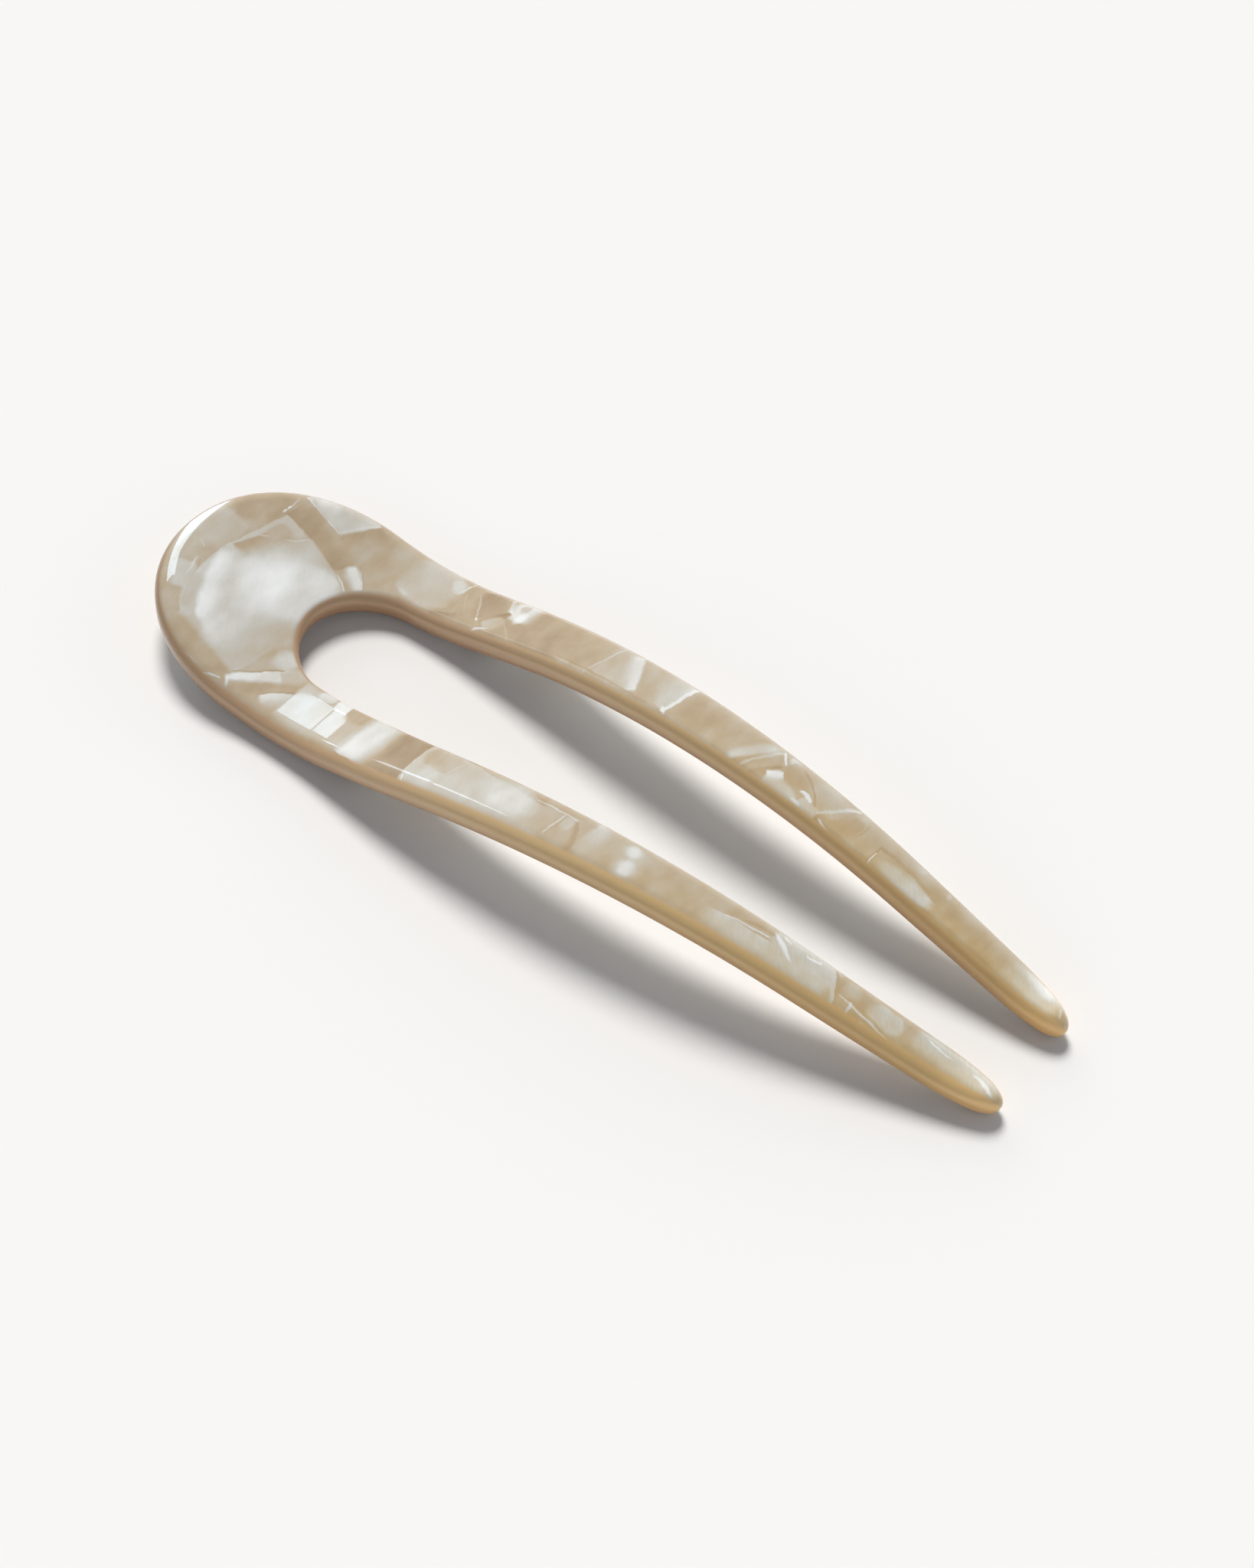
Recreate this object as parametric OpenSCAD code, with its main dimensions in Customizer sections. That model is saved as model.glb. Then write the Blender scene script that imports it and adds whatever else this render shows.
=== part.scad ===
// French hair pin: a U cut from one thick sheet of acetate, arched by heat and tumbled smooth.
// It lies on its neck and the tips of its two prongs. +X runs from the head to the tips,
// +Z is up, and the origin is under the middle of the pin, on the surface that it lies on.

/* [Pin] */
// Length from the end of the head to the tips
pin_l = 135; // [115:1:160]
// Width of the head
head_w = 36; // [32:0.2:44]
// Thickness of the sheet
sheet_t = 4; // [3:0.1:5]
// Radius that the edges are tumbled to
edge_r = 1.25; // [0.5:0.05:1.4]

/* [Head] */
// Length of the head's round end
head_round_l = 21.4; // [16:0.2:28]
// Fullness of the head's round end, where 2 is an ellipse
head_fullness = 2.1; // [1.8:0.1:2.8]

/* [Slot] */
// Solid length of the head, from its end to the slot
crown_l = 21.8; // [18:0.2:30]
// Width of the slot where it is widest
slot_w = 18.4; // [14:0.2:22]
// Distance from the end of the head to where the slot is widest
slot_x = 52; // [40:1:64]
// Width that the slot opens from, at the end of the crown
slot_start_w = 15.9; // [12:0.1:18]
// Length of the slot's round end
slot_round_l = 8.6; // [5:0.2:12]
// Fullness of the slot's round end, where 2 is an ellipse
slot_fullness = 2; // [1.8:0.1:2.8]

/* [Prongs] */
// Distance from the end of the head to where the outline starts to draw in
taper_x = 45; // [30:1:60]
// How late the prongs draw in, where 1 is in straight lines
draw_in = 1.45; // [1:0.05:2]
// Width over both tips, where the outline would end without its rounding
tips_w = 18.5; // [16:0.5:24]
// Gap between the tips, where the slot would end without their rounding
gap_w = 9; // [6:0.5:12]

/* [Tips] */
// Length over which a prong narrows to its tip
tip_l = 10; // [6:0.5:14]
// Fullness of a tip seen from above, where 2 is an ellipse
tip_fullness = 2.5; // [1.8:0.1:3.2]
// Length over which a prong thins to its tip
nose_l = 2.6; // [1.5:0.1:4]

/* [Arch] */
// Distance from the end of the head to the neck, where the pin rests
neck_x = 29; // [24:0.5:34]
// Radius of the bend at the neck
neck_r = 45; // [20:1:60]
// Angle at which the head rises from the neck
head_tilt = 11.5; // [0:0.5:20]
// Clear height under the arch of the prongs
arch_h = 7.8; // [4:0.2:12]

/* [Hidden] */

acetate = [0.88, 0.86, 0.81];

// The top of the arch is midway between the neck and the tips
arch_x = (neck_x + pin_l) / 2;
// Both bends together, as a share of the largest that fit between the neck and the top of the
// arch. The flank between the two bends stays straight for the rest
bend_share = 0.95;
both_r = bend_share * ((arch_x - neck_x) ^ 2 + arch_h ^ 2) / (2 * arch_h);
arch_r = both_r - neck_r;

// Steps of the mesh along a tip, a prong and half of the head, round one corner of a section,
// and across half of its flat top
tip_steps = 8;
prong_steps = 36;
head_steps = 28;
corner_steps = 4;
flat_steps = 2;

// Angle at which the rounding of a tip starts, so that the first section has some width
tip_start = 10;
// Largest share of a section's width or thickness that one rounded corner takes
corner_share = 0.45;
// How square a section line is to the edge, at least, for the depth of the edge's rounding
least_square = 0.01;

// Share of a width that is drawn in at x, from none at one place to all at another
function drawn(x, none_x, all_x) = max(0, (x - none_x) / (all_x - none_x)) ^ draw_in;

function outer_half(x) = (head_w - (head_w - tips_w) * drawn(x, taper_x, pin_l)) / 2;
function slot_half(x) =
    (slot_w
        - (slot_w - gap_w) * drawn(x, slot_x, pin_l)
        - (slot_w - slot_start_w) * drawn(x, slot_x, crown_l)) / 2;

// Angle of a straight stretch that leaves a bend and comes down by drop within run
function straight_angle(run, drop, radius) =
    atan2(run, radius - drop) - acos(radius / norm([run, radius - drop]));

flank_angle = straight_angle(arch_x - neck_x, arch_h, both_r);
tip_angle = straight_angle(pin_l - nose_l - arch_x, arch_h, arch_r);
flank_x = neck_x + neck_r * sin(flank_angle);

// Angle of the sheet at x: it turns round a bend from one angle to the other and is straight
// outside them. A negative radius bends it downwards
function bend_angle(x, middle, radius, least, most) =
    asin(min(max((x - middle) / radius, sin(least)), sin(most)));

// Height of the sheet at x, above the middle of the bend
function bend_height(x, middle, radius, angle) =
    radius * (1 - cos(angle)) + (x - middle - radius * sin(angle)) * tan(angle);

function slope(x) =
    x < flank_x
    ? bend_angle(x, neck_x, neck_r, -head_tilt, flank_angle)
    : bend_angle(x, arch_x, -arch_r, -tip_angle, flank_angle);
function height(x) =
    x < flank_x
    ? bend_height(x, neck_x, neck_r, slope(x))
    : arch_h + bend_height(x, arch_x, -arch_r, slope(x));

// A round end of length 1, at an angle from 0 at its end to 90 where the full width is reached:
// how far in it is, and the share of the full width there
function round_in(angle, fullness) = 1 - cos(angle) ^ (2 / fullness);
function round_share(angle, fullness) = sin(angle) ^ (2 / fullness);

// Share of the full thickness at x, where the nose of a prong thins
function nose_share(x) =
    let (t = max(0, 1 - (pin_l - x) / nose_l))
    sqrt(1 - t * t);

// One place along the prong and half head on the +Y side: [outer point, slot point]
function tip_place(angle) =
    let (
        x = pin_l - tip_l * round_in(angle, tip_fullness),
        share = round_share(angle, tip_fullness),
        middle = (outer_half(x) + slot_half(x)) / 2,
        half = (outer_half(x) - slot_half(x)) / 2 * share
    )
    [[x, middle + half], [x, middle - half]];

function prong_place(t) =
    let (
        start = pin_l - tip_l,
        x_outer = start + (head_round_l - start) * t,
        x_slot = start + (crown_l + slot_round_l - start) * t
    )
    [[x_outer, outer_half(x_outer)], [x_slot, slot_half(x_slot)]];

function head_place(angle) =
    let (
        x_outer = head_round_l * round_in(angle, head_fullness),
        x_slot = crown_l + slot_round_l * round_in(angle, slot_fullness)
    )
    [
        [x_outer, outer_half(x_outer) * round_share(angle, head_fullness)],
        [x_slot, slot_half(x_slot) * round_share(angle, slot_fullness)]
    ];

function mirrored(place) = [for (p = place) [p.x, -p.y]];

// All places, from the tip on the +Y side round the head to the tip on the -Y side
half_places = [
    for (i = [0 : tip_steps - 1]) tip_place(tip_start + (90 - tip_start) * i / tip_steps),
    for (i = [0 : prong_steps - 1]) prong_place(i / prong_steps),
    for (i = [0 : head_steps - 1]) head_place(90 - 90 * i / head_steps),
];
places = [
    each half_places,
    head_place(0),
    for (i = [len(half_places) - 1 : -1 : 0]) mirrored(half_places[i]),
];
last_place = len(places) - 1;

// Direction of the edge at place i, measured between its neighbours
function edge_way(i, side) =
    let (
        before = places[max(i - 1, 0)][side],
        after = places[min(i + 1, last_place)][side]
    )
    (after - before) / norm(after - before);

// Depth of an edge's rounding along the section line, which is longer where the line is skewed
function corner_depth(i, side, line, width) =
    let (way = edge_way(i, side), square = abs(way.x * line.y - way.y * line.x))
    min(edge_r / max(square, least_square), width * corner_share);

// Half of a section from its middle to one edge: [distance from the middle, height]
function half_section(width, depth, t, r) =
    let (flat = width / 2 - depth)
    [
        for (k = [0 : flat_steps - 1]) [flat * k / flat_steps, t / 2],
        for (j = [0 : corner_steps])
            let (a = 90 * j / corner_steps) [flat + depth * sin(a), t / 2 - r + r * cos(a)],
        for (j = [0 : corner_steps])
            let (a = 90 * j / corner_steps) [flat + depth * cos(a), r - t / 2 - r * sin(a)],
        for (k = [flat_steps - 1 : -1 : 1]) [flat * k / flat_steps, -t / 2],
    ];

// A whole section: the outer half from the top to the bottom, then the slot half back up
function section(i) =
    let (
        outer = places[i][0],
        slot = places[i][1],
        middle = (outer + slot) / 2,
        width = norm(outer - slot),
        line = (outer - slot) / width,
        t = sheet_t * nose_share(middle.x),
        r = min(edge_r, t * corner_share),
        outward = half_section(width, corner_depth(i, 0, line, width), t, r),
        inward = half_section(width, corner_depth(i, 1, line, width), t, r)
    )
    [
        for (p = outward) bent(middle + p[0] * line, p[1]),
        for (p = inward) bent(middle - p[0] * line, -p[1]),
    ];

// A point of the flat sheet, at a height above its middle, moved onto the arch
function bent(p, above) =
    let (a = slope(p.x))
    [p.x - above * sin(a), p.y, height(p.x) + above * cos(a)];

sections = [for (i = [0 : last_place]) section(i)];
loop = len(sections[0]);

// The middles of the two end sections follow the sections, for the caps
function middle_of(s) = [for (k = [0 : 2]) (min([for (p = s) p[k]]) + max([for (p = s) p[k]])) / 2];

raw_points = [
    for (s = sections) each s,
    middle_of(sections[0]),
    middle_of(sections[last_place]),
];
lowest = min([for (p = raw_points) p.z]);
middle_x = (min([for (p = raw_points) p.x]) + max([for (p = raw_points) p.x])) / 2;
points = [for (p = raw_points) p - [middle_x, 0, lowest]];

// Triangles between two neighbouring sections
walls = [
    for (i = [0 : last_place - 1])
    for (j = [0 : loop - 1])
        let (
            a = i * loop + j,
            b = i * loop + (j + 1) % loop,
            c = a + loop,
            d = b + loop
        )
        each [[a, b, d], [a, d, c]],
];

// Triangles that close an end section, as a fan round its middle
function cap(middle, first, turned) = [
    for (j = [0 : loop - 1])
        let (a = first + j, b = first + (j + 1) % loop)
        turned ? [middle, a, b] : [middle, b, a],
];

faces = [
    each walls,
    each cap(len(points) - 2, 0, false),
    each cap(len(points) - 1, last_place * loop, true),
];

// The pin, swept from tip to tip
module pin() {
    color(acetate)
        polyhedron(points, faces, convexity = 6);
}

pin();
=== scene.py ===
"""A French hair pin of pearly acetate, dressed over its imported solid, with its studio."""

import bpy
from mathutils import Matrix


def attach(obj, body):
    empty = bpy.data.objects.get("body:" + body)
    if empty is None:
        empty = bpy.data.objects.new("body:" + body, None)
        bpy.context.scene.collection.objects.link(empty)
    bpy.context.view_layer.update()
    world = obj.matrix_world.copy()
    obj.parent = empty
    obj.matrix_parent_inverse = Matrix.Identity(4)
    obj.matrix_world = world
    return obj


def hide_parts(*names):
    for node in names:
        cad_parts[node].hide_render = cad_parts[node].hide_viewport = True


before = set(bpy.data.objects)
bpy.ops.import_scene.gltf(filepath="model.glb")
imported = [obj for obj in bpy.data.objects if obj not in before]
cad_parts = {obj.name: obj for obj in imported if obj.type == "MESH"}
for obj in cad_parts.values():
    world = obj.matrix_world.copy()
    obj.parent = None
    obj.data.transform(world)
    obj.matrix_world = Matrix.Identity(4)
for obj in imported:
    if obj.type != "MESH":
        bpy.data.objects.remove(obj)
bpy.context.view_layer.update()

import math
from collections import namedtuple

import bmesh
import bpy
import numpy as np
from bpy.props import FloatProperty, FloatVectorProperty, PointerProperty
from mathutils import Vector

bl_info = {
    "name": "French hair pin",
    "version": (1, 0, 0),
    "blender": (4, 5, 0),
    "location": "View3D > Sidebar > Hair pin",
    "description": "Makes a French hair pin of pearly acetate and the studio that shows it",
    "category": "Add Mesh",
}

MM = 0.001

# Both bends of the arch together, as a share of the largest that fit between the neck and the top
# of the arch. The flank between the two bends stays straight for the rest
BEND_SHARE = 0.95

# Steps of the mesh along a tip, a prong and half of the head, round one corner of a section,
# and across half of its flat top
TIP_STEPS = 26
PRONG_STEPS = 210
HEAD_STEPS = 120
CORNER_STEPS = 12
FLAT_STEPS = 5

# Angle at which the rounding of a tip starts, the largest share of a section that one rounded
# corner takes, and how square a section line is to the edge at least
TIP_START = math.radians(4)
CORNER_SHARE = 0.45
LEAST_SQUARE = 0.01
# Fullness of the slot's round end, which is an ellipse
SLOT_FULLNESS = 2

# The visible faces are rounded this much deeper than the plain solid's edges, by tumbling
TUMBLING = 1.28

# Edges that face this way show clear acetate past the pearl, and the faces turn golden towards
# them. Towards the other edges the faces are painted lighter and silvery as painted sheen, the
# pearl runs right over, and the walls get painted shade
FRONT = (0.62, -0.78)

# Folds of the pearl, charted on the flat sheet in millimetres: x from the end of the head, y
# from the middle line. A fold runs from its start to its finish and swings out to its left by
# swing. It is even over left and right of its line, and fades out over left_fade and
# right_fade. ends is the share of its half length over which it fades at both ends, and the more
# it fades there, the more it also narrows. Its tone runs from tone at the start to tone_on at the
# finish: 0 is brown, 0.4 tan and 1 pearl white. It hides what lies below it by the share cover,
# which is 1 where a row leaves it out
# A few rows are not pearl: they are painted highlights and one painted reflection, each marked
# above its row
Fold = namedtuple(
    "Fold", "x y x_on y_on swing left left_fade right right_fade ends tone tone_on cover",
    defaults=[1],
)
HEAD_FOLDS = (
    (2.6, 4.7, 8, 11.4, 0, 2, 1, 1.6, 0.8, 0.3, 0.36, 0.36),
    (1, 1.6, 6.9, 1.6, 0, 2.4, 0.5, 2.2, 1.2, 0.05, 0.53, 0.5),
    (1.8, -3.1, 6.2, -3.1, 0, 1, 0.8, 1.2, 0.9, 0.3, 0.45, 0.44, 0.8),
    (4.4, -5.4, 6.8, -9.8, 0.3, 1, 1, 0.9, 0.8, 0.3, 0.6, 0.64),
    (5, -3.9, 6.2, -7.6, 0.12, 0.1, 0.3, 0.1, 0.35, 0.6, 0.86, 0.7, 0.8),
    (5.6, -4, 6.9, -7.4, 0.2, 0.05, 0.15, 0.05, 0.2, 0.4, 0.3, 0.3, 0.7),
    (3.1, -1.5, 5, -2.8, 0.1, 0.05, 0.2, 0.05, 0.2, 0.5, 0.55, 0.62, 0.8),
    (2.6, -1.9, 3.6, -3.4, 0.1, 0.05, 0.2, 0.05, 0.2, 0.5, 0.5, 0.5, 0.6),
    (22, 16.8, 22.2, 9, 0, 3.4, 1.5, 3, 1.5, 0.2, 0.43, 0.41),
    (8.5, 13.45, 15.7, 11.75, 0, 3.8, 1.2, 0, 0.12, 0.04, 0.64, 0.58),
    (15.6, 11.8, 18.5, 16.9, 0, 2.6, 1.8, 0, 0.12, 0.04, 0.6, 0.65),
    (9.6, 13.9, 13.6, 14.9, 0.2, 0.4, 1.2, 0.3, 1, 0.6, 0.8, 0.72),
    (16, 11.2, 18.8, 16.8, 0, 0, 0.15, 1.8, 1.2, 0.1, 0.38, 0.38),
    (9.9, 13.05, 12.7, 12.55, 0.08, 0.02, 0.16, 0.02, 0.14, 0.3, 0.85, 0.8, 0.9),
    (12.9, 12.5, 15.6, 11.75, -0.05, 0.04, 0.18, 0.03, 0.12, 0.2, 0.86, 0.9, 0.95),
    (8.7, 13.5, 10.5, 12.95, -0.1, 0.03, 0.15, 0.03, 0.15, 0.3, 0.9, 0.85, 0.8),
    (9.1, 13.9, 10.4, 13.4, 0, 0.05, 0.15, 0.05, 0.15, 0.4, 0.42, 0.42, 0.6),
    (15.5, 11.8, 18.4, 16.9, 0.05, 0.08, 0.3, 0.02, 0.12, 0.15, 0.74, 0.78, 0.9),
    (8.9, 9.4, 6.7, 0.2, 0, 12.5, 2.5, 0, 0.15, 0.02, 0.5, 0.56),
    (6.6, 0.6, 7.3, -9.3, -0.35, 13.5, 2.5, 0, 0.18, 0.03, 0.6, 0.56),
    (7.2, -8.9, 10.2, -12.6, -0.2, 8, 4, 0, 0.25, 0.03, 0.56, 0.56),
    (9.2, -12.4, 21.2, -14.2, 0.1, 7, 4, 0, 0.5, 0.06, 0.56, 0.5),
    (9.8, 8.2, 8.6, 1.6, 0, 3.4, 2.6, 0.3, 0.4, 0.3, 0.45, 0.47, 0.9),
    (6.8, 0.3, 9, 5.4, -0.2, 0, 0.15, 0.2, 2, 0.35, 0.33, 0.42, 0.9),
    (8.3, 9.5, 19.6, 6.8, 0.35, 1.2, 1.9, 0, 0.12, 0.04, 0.32, 0.35),
    (8.06, 12.5, 8.1, 9.4, 0.05, 0.03, 0.18, 0.03, 0.2, 0.2, 0.7, 0.85, 0.9),
    (8.1, 11, 8, 10.1, 0, 0.1, 0.25, 0.1, 0.25, 0.6, 0.95, 0.95),
    (8, 10, 8.05, 9.1, 0, 0.1, 0.25, 0.1, 0.25, 0.6, 0.9, 0.9),
    (17.5, -4, 23.5, -7.5, 0, 1.6, 2, 2.5, 2.5, 0.5, 0.54, 0.54, 0.8),
    # Painted highlight: the next two rows paint the broad glow of the key light in the middle of
    # the head
    (8.6, -0.6, 21, -0.6, 0, 0.2, 5.6, 0.2, 5.6, 0.95, 0.95, 0.95),
    (11.5, -0.4, 18, -0.4, 0, 0.5, 2.5, 0.5, 2.5, 0.9, 1, 1, 0.8),
    (18.4, 7.2, 20.6, -4.5, 0.6, 1.4, 1.6, 1.4, 2, 0.4, 0.84, 0.76),
    (7, -5.5, 9.8, -11.6, -0.2, 0.1, 0.8, 0.5, 0.6, 0.4, 0.42, 0.42, 0.5),
    (6.7, -0.2, 12.6, -12, -0.4, 0.1, 1.6, 0.3, 0.6, 0.25, 0.88, 0.98, 0.95),
    (11.5, -10.6, 19.5, -12.2, 0, 1.2, 2.6, 0.5, 1, 0.5, 0.84, 0.62, 0.9),
    (22.6, -7.6, 26.6, -9.6, 0, 0.5, 1.2, 0.5, 1, 0.8, 0.86, 0.84, 0.65),
    (13.6, 8.5, 10.9, 5.9, 0, 0, 0.1, 0.1, 0.8, 0.3, 0.38, 0.42, 0.6),
    (13.9, 8.4, 11.2, 5.8, 0, 0.05, 0.25, 0.1, 0.3, 0.3, 0.72, 0.62, 0.8),
    (8.2, 4.1, 9.6, 4.9, 0, 0.05, 0.3, 0.05, 0.4, 0.8, 0.72, 0.68, 0.6),
    (19.2, 7.5, 22.6, 5.6, 0, 0.3, 0.5, 0.3, 0.4, 0.2, 0.45, 0.42, 0.9),
    (20, 9.2, 23.9, 6.6, 0.1, 0.1, 0.5, 0.5, 0.8, 0.3, 0.96, 0.8, 0.9),
    (19.8, 6.8, 22.4, 5.1, 0, 0.05, 0.2, 0.05, 0.25, 0.2, 0.85, 0.9, 0.9),
    (21.8, 9.3, 24.1, 6.9, 0.1, 0.05, 0.3, 0.05, 0.15, 0.3, 0.3, 0.28, 0.8),
    (25.4, 13.2, 35.6, 13.4, 0, 3.9, 1, 3, 0.8, 0.4, 0.58, 0.6),
    (27.2, 10.6, 29.4, 10, 0, 0.1, 0.7, 0.1, 0.7, 0.9, 0.76, 0.76, 0.6),
    (32.8, 16.2, 35.2, 14.4, 0, 0.2, 0.8, 0.3, 0.5, 0.3, 0.72, 0.78, 0.9),
    (35.5, 17.4, 34.9, 14.4, 0, 0.03, 0.15, 0.05, 0.2, 0.15, 0.97, 0.85),
    (33.4, 9.7, 37.4, 11.4, -0.2, 0, 0.1, 0.3, 1.2, 0.2, 0.36, 0.36),
    (8.6, -13.6, 20.2, -16.4, -0.6, 1.3, 0.9, 1.6, 1, 0.2, 0.38, 0.38),
    (12, -16.3, 16.6, -16.4, -0.1, 0.03, 0.2, 0.03, 0.2, 0.3, 0.6, 0.6, 0.8),
    (17.8, -17.2, 20.3, -16.2, 0.1, 0.05, 0.2, 0.1, 0.3, 0.3, 0.7, 0.9, 0.9),
    (20.6, -16.2, 27.6, -9.4, 0.3, 0.6, 0.35, 0.6, 0.5, 0.1, 0.95, 0.72),
    (26, -11.2, 28.4, -8.6, 0, 0.6, 0.5, 0.8, 0.5, 0.2, 0.52, 0.5),
    (20.4, -14.6, 25.9, -9.7, 0.1, 0.15, 0.3, 0.05, 0.15, 0.15, 0.28, 0.22, 0.85),
    (23.5, -11.9, 24.3, -11.2, 0, 0.08, 0.2, 0.08, 0.2, 0.6, 0.9, 0.9, 0.9),
    (21.3, -16.6, 30.4, -10.7, 0.2, 0.5, 0.5, 0.5, 0.4, 0.08, 0.36, 0.34),
    (25.6, -15.1, 29.6, -11.8, 0.1, 0, 0.12, 0.4, 1.3, 0.3, 0.86, 0.68, 0.85),
    (25.5, -15, 30.2, -11.1, 0.15, 0.05, 0.35, 0.02, 0.12, 0.15, 0.27, 0.22, 0.9),
)
NEAR_FOLDS = (
    (29, -13, 41.5, -13.4, 0, 3, 1, 2.6, 0.8, 0.08, 0.6, 0.55),
    # Painted reflection: this row paints the post of the window mirrored on the near neck
    (36.3, -8.6, 36.5, -11, 0, 1.05, 0.08, 1, 0.08, 0.02, 0.97, 0.99),
    (33.3, -8.8, 33.8, -10.8, 0, 1.2, 0.2, 1, 0.5, 0.3, 0.92, 0.72, 0.9),
    (37.6, -10.4, 41.4, -10.6, 0, 0.6, 0.3, 0.6, 0.6, 0.15, 0.42, 0.42),
    (43.8, -9.4, 42.8, -17, 0, 0.9, 1.8, 0.8, 1, 0.04, 0.84, 0.96),
    (49.9, -9.4, 49.6, -17, 0, 1.6, 0.9, 1.7, 1, 0.03, 0.26, 0.3),
    (48.6, -12.2, 50.8, -14.8, 0, 0.3, 0.9, 0.3, 0.9, 0.8, 0.28, 0.3, 0.8),
    (52.3, -9.6, 51.8, -16.8, -0.35, 17.5, 2.5, 0, 0.15, 0.03, 0.58, 0.62),
    (54.6, -9.6, 54.4, -13.5, 0, 1.8, 1.6, 1.8, 0.6, 0.3, 0.46, 0.48),
    (52.8, -14.2, 56.7, -14.4, 0, 0.4, 1.2, 0.4, 0.9, 0.9, 0.72, 0.72, 0.7),
    (60.5, -12.2, 71, -12.2, 0, 0.8, 1.5, 0.8, 1.5, 0.9, 0.72, 0.76, 0.95),
    (57.6, -10.4, 56.4, -14.2, 0, 0.05, 0.2, 0.05, 0.4, 0.3, 0.66, 0.66, 0.5),
    (52.3, -9.8, 51.6, -15.6, -0.25, 0.05, 0.25, 0.02, 0.12, 0.1, 0.66, 0.72, 0.8),
    (51.8, -15.6, 52.4, -16.9, 0, 0.08, 0.2, 0.08, 0.2, 0.4, 0.97, 0.95),
    (73.6, -10.4, 73.4, -15.2, 0, 1.9, 1, 1.8, 1.2, 0.12, 0.46, 0.44),
    (73.4, -11.2, 75.2, -11.2, 0, 0.5, 0.4, 0.6, 0.7, 0.4, 0.6, 0.6, 0.8),
    (73.2, -10.3, 72.8, -14.6, 0, 0.05, 0.2, 0.05, 0.25, 0.2, 0.85, 0.75, 0.9),
    (68, -9.7, 76.2, -9.4, 0, 0.4, 0.3, 0.35, 0.12, 0.2, 0.42, 0.4),
    (68.6, -10.45, 75.2, -10.2, 0.03, 0.03, 0.12, 0.04, 0.2, 0.15, 0.8, 0.88, 0.9),
    (75.2, -10.3, 76.8, -15, 0.35, 0.05, 0.2, 0.2, 0.9, 0.12, 0.3, 0.34),
    (78.2, -8.8, 77.7, -14.6, 0, 0.3, 1.3, 0.4, 0.5, 0.2, 0.68, 0.44),
    (83.6, -8.8, 84, -14.4, 0, 0.2, 1.6, 0.2, 1.6, 0.4, 0.66, 0.62, 0.9),
    (82.9, -8.8, 83.6, -11.3, 0, 0.2, 0.8, 0.2, 0.8, 0.9, 0.92, 0.92, 0.75),
    (83.7, -11, 84.4, -14, 0, 0.2, 0.8, 0.2, 0.8, 0.9, 0.9, 0.88, 0.7),
    (94, -10.7, 112.5, -8.9, 0.1, 0, 0.15, 2.6, 1.4, 0.3, 0.56, 0.65),
    (102.4, -8.9, 112.2, -8, 0, 1.6, 0.4, 1.2, 1, 0.22, 0.6, 0.66),
    (98.6, -9.5, 103.2, -8.4, 0.1, 0.2, 0.6, 0, 0.12, 0.3, 0.32, 0.3, 0.9),
    (96.5, -10.3, 103, -8.9, 0.05, 0.03, 0.15, 0.1, 0.4, 0.2, 0.8, 0.84, 0.9),
    (102.4, -7.8, 106.6, -10.3, 0.3, 0.05, 0.25, 0.2, 0.7, 0.5, 0.97, 0.86),
    (103.6, -7.7, 105.2, -8.1, 0, 0.05, 0.2, 0.05, 0.2, 0.4, 0.9, 0.85, 0.9),
    (107, -8.1, 109.2, -7.5, -0.15, 0.05, 0.2, 0.1, 0.35, 0.2, 0.9, 0.97),
    (110.6, -7, 113, -11.4, 0.35, 0, 0.1, 0.3, 0.9, 0.3, 0.62, 0.72, 0.9),
    (110.7, -6.9, 113.2, -11.6, 0.35, 0.2, 0.8, 0.02, 0.12, 0.12, 0.33, 0.4),
    (112.4, -7.1, 115.4, -8.7, 0, 0.3, 0.6, 0.3, 0.7, 0.8, 0.74, 0.62, 0.5),
    (118.8, -6.7, 118.9, -9.9, 0, 1.8, 0.5, 1.5, 0.8, 0.3, 0.66, 0.58, 0.95),
    (113.5, -9.05, 120, -9.9, 0, 0.1, 0.3, 0, 0.1, 0.3, 0.34, 0.36, 0.7),
    (112.8, -9.3, 121.4, -10.2, -0.1, 0.03, 0.12, 0.08, 0.35, 0.12, 0.72, 0.97, 0.95),
    (121, -10.15, 127.4, -10, 0.1, 0.05, 0.2, 0.1, 0.5, 0.4, 0.8, 0.5, 0.9),
    (114.6, -9.2, 114.9, -11, 0.1, 0.1, 0.3, 0.1, 0.4, 0.35, 0.88, 0.6),
    (116.6, -10.5, 118.9, -11.3, 0.2, 0.05, 0.2, 0.1, 0.35, 0.25, 0.8, 0.88),
    (121.4, -6.6, 121.6, -9.6, 0.1, 0.1, 0.6, 0.1, 0.4, 0.3, 0.36, 0.38, 0.8),
    (121.8, -7.6, 134.6, -7.4, 0.2, 1.2, 0.4, 0.4, 1.4, 0.25, 0.54, 0.62),
    (123.8, -6.7, 127.8, -7, 0, 0.03, 0.15, 0.08, 0.25, 0.3, 0.9, 0.8, 0.9),
    # Painted highlight: this row paints the highlight at the end of the near tip
    (130, -6.6, 133.8, -7.5, 0.15, 0.15, 0.2, 0.2, 0.4, 0.5, 0.8, 0.97),
)
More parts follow.
